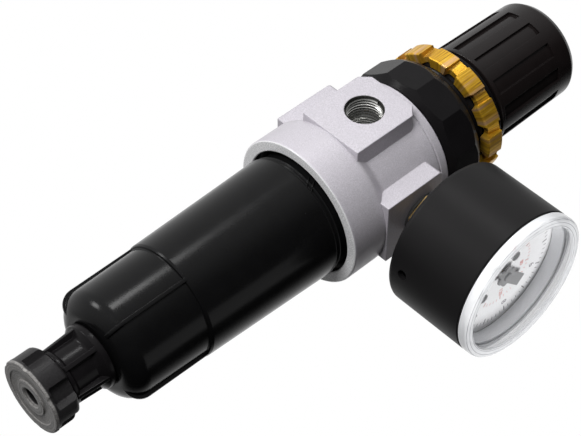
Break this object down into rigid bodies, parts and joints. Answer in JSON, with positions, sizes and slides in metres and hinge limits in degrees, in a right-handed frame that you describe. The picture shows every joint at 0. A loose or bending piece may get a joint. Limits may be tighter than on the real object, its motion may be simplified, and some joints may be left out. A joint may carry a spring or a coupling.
{
  "type": "air filter-regulator",
  "caption": "Miniature compressed-air filter-regulator: ported cast body, adjusting knob, panel nut, round dial gauge and a long filter bowl with a manual drain.",
  "frame": {"origin": "where the pipe axis crosses the main axis, inside the body", "axes": "+Z along the main axis from the drain up to the adjusting knob; +X along the pipe axis towards the outlet port; the gauge faces -Y"},
  "size_m": [0.041, 0.0751, 0.1707],
  "materials": {
    "die_cast_metal": "fine-grained satin grey paint on a casting",
    "gloss_black_plastic": "glossy moulded black",
    "satin_black_plastic": "satin moulded black",
    "yellow_passivated_metal": "yellow, turned, with bright edges",
    "brass": "machined",
    "spring_steel": "bright",
    "black_rubber": "matt",
    "white_nylon": "moulded natural white",
    "sintered_plastic": "porous white",
    "black_paint": "satin black enamel",
    "clear_plastic": "clear polished",
    "dial_white": "printed white"
  },
  "bodies": {
    "housing": {"body": "die_cast_metal", "bonnet": "satin_black_plastic", "valve_seat": "brass", "port_plug": "brass", "gauge_socket": "brass", "bourdon_tube": "brass", "movement_back_plate": "brass", "movement_front_plate": "brass", "range_spring": "spring_steel", "valve_spring": "spring_steel", "dial_screw_upper": "spring_steel", "dial_screw_lower": "spring_steel", "diaphragm": "black_rubber", "gauge_seal": "black_rubber", "slip_ring": "white_nylon", "valve_guide": "white_nylon", "louver": "white_nylon", "baffle": "white_nylon", "filter_element": "sintered_plastic", "gauge_case": "black_paint", "gauge_lens": "clear_plastic", "gauge_dial": "dial_white"},
    "adjusting_screw": {"adjusting_screw": "spring_steel"},
    "adjusting_knob": {"adjusting_knob": "satin_black_plastic"},
    "spring_nut": {"spring_nut": "brass"},
    "diaphragm_plates": {"spring_rest": "spring_steel", "relief_seat": "spring_steel"},
    "valve": {"valve_stem": "brass", "poppet_seal": "black_rubber"},
    "panel_nut": {"panel_nut": "yellow_passivated_metal"},
    "bowl": {"bowl": "gloss_black_plastic", "bowl_o_ring": "black_rubber", "drain_body": "satin_black_plastic", "drain_gasket": "black_rubber", "drain_nut": "brass"},
    "drain_stem": {"drain_stem": "brass", "drain_seal": "black_rubber"},
    "drain_knob": {"drain_knob": "satin_black_plastic"},
    "pointer": {"gauge_pointer": "satin_black_plastic", "pointer_pinion": "brass"},
    "sector_gear": {"sector_gear": "brass"},
    "link": {"link": "spring_steel"}
  },
  "joints": [
    {"name": "adjust_turn", "type": "hinge", "parent": "housing", "child": "adjusting_screw", "pos_m": [0, 0, 0], "axis": [0, 0, -1], "range_deg": [0, 1440]},
    {"name": "knob_pull", "type": "slide", "parent": "adjusting_screw", "child": "adjusting_knob", "axis": [0, 0, 1], "range_m": [0, 0.003]},
    {"name": "spring_nut_travel", "type": "slide", "parent": "housing", "child": "spring_nut", "axis": [0, 0, -1], "range_m": [0, 0.005], "deforming": ["range_spring"]},
    {"name": "diaphragm_travel", "type": "slide", "parent": "housing", "child": "diaphragm_plates", "axis": [0, 0, -1], "range_m": [0, 0.001], "stiffness_N_per_m": 800, "springref_m": -0.0002, "deforming": ["diaphragm"]},
    {"name": "valve_travel", "type": "slide", "parent": "housing", "child": "valve", "axis": [0, 0, -1], "range_m": [0, 0.001], "stiffness_N_per_m": 400, "springref_m": -0.0002, "deforming": ["valve_spring"]},
    {"name": "panel_nut_turn", "type": "hinge", "parent": "housing", "child": "panel_nut", "pos_m": [0, 0, 0], "axis": [0, 0, 1], "continuous": true},
    {"name": "bowl_turn", "type": "hinge", "parent": "housing", "child": "bowl", "pos_m": [0, 0, 0], "axis": [0, 0, -1], "range_deg": [0, 45]},
    {"name": "drain_travel", "type": "slide", "parent": "bowl", "child": "drain_stem", "axis": [0, 0, -1], "range_m": [0, 0.0012]},
    {"name": "drain_knob_turn", "type": "hinge", "parent": "drain_stem", "child": "drain_knob", "pos_m": [0, 0, 0], "axis": [0, 0, -1], "range_deg": [0, 360.1]},
    {"name": "pointer_turn", "type": "hinge", "parent": "housing", "child": "pointer", "pos_m": [0, -0.0487, 0], "axis": [0, 1, 0], "range_deg": [0, 270], "stiffness_Nm_per_rad": 0.0002, "springref_deg": -5.73},
    {"name": "sector_swing", "type": "hinge", "parent": "housing", "child": "sector_gear", "pos_m": [0, -0.041, -0.0105], "axis": [0, -1, 0], "range_deg": [0, 45.01]},
    {"name": "link_swing", "type": "hinge", "parent": "sector_gear", "child": "link", "pos_m": [0.00201, -0.0399, -0.01299], "axis": [0, 1, 0], "range_deg": [0, 45.01]}
  ],
  "couplings": [
    {"joint": "adjust_turn", "follows": "spring_nut_travel", "rad_per_m": 5026.5},
    {"joint": "valve_travel", "follows": "diaphragm_travel", "ratio": 1},
    {"joint": "drain_knob_turn", "follows": "drain_travel", "rad_per_m": 5236},
    {"joint": "sector_swing", "follows": "pointer_turn", "ratio": 0.16667},
    {"joint": "link_swing", "follows": "pointer_turn", "ratio": 0.16667}
  ]
}
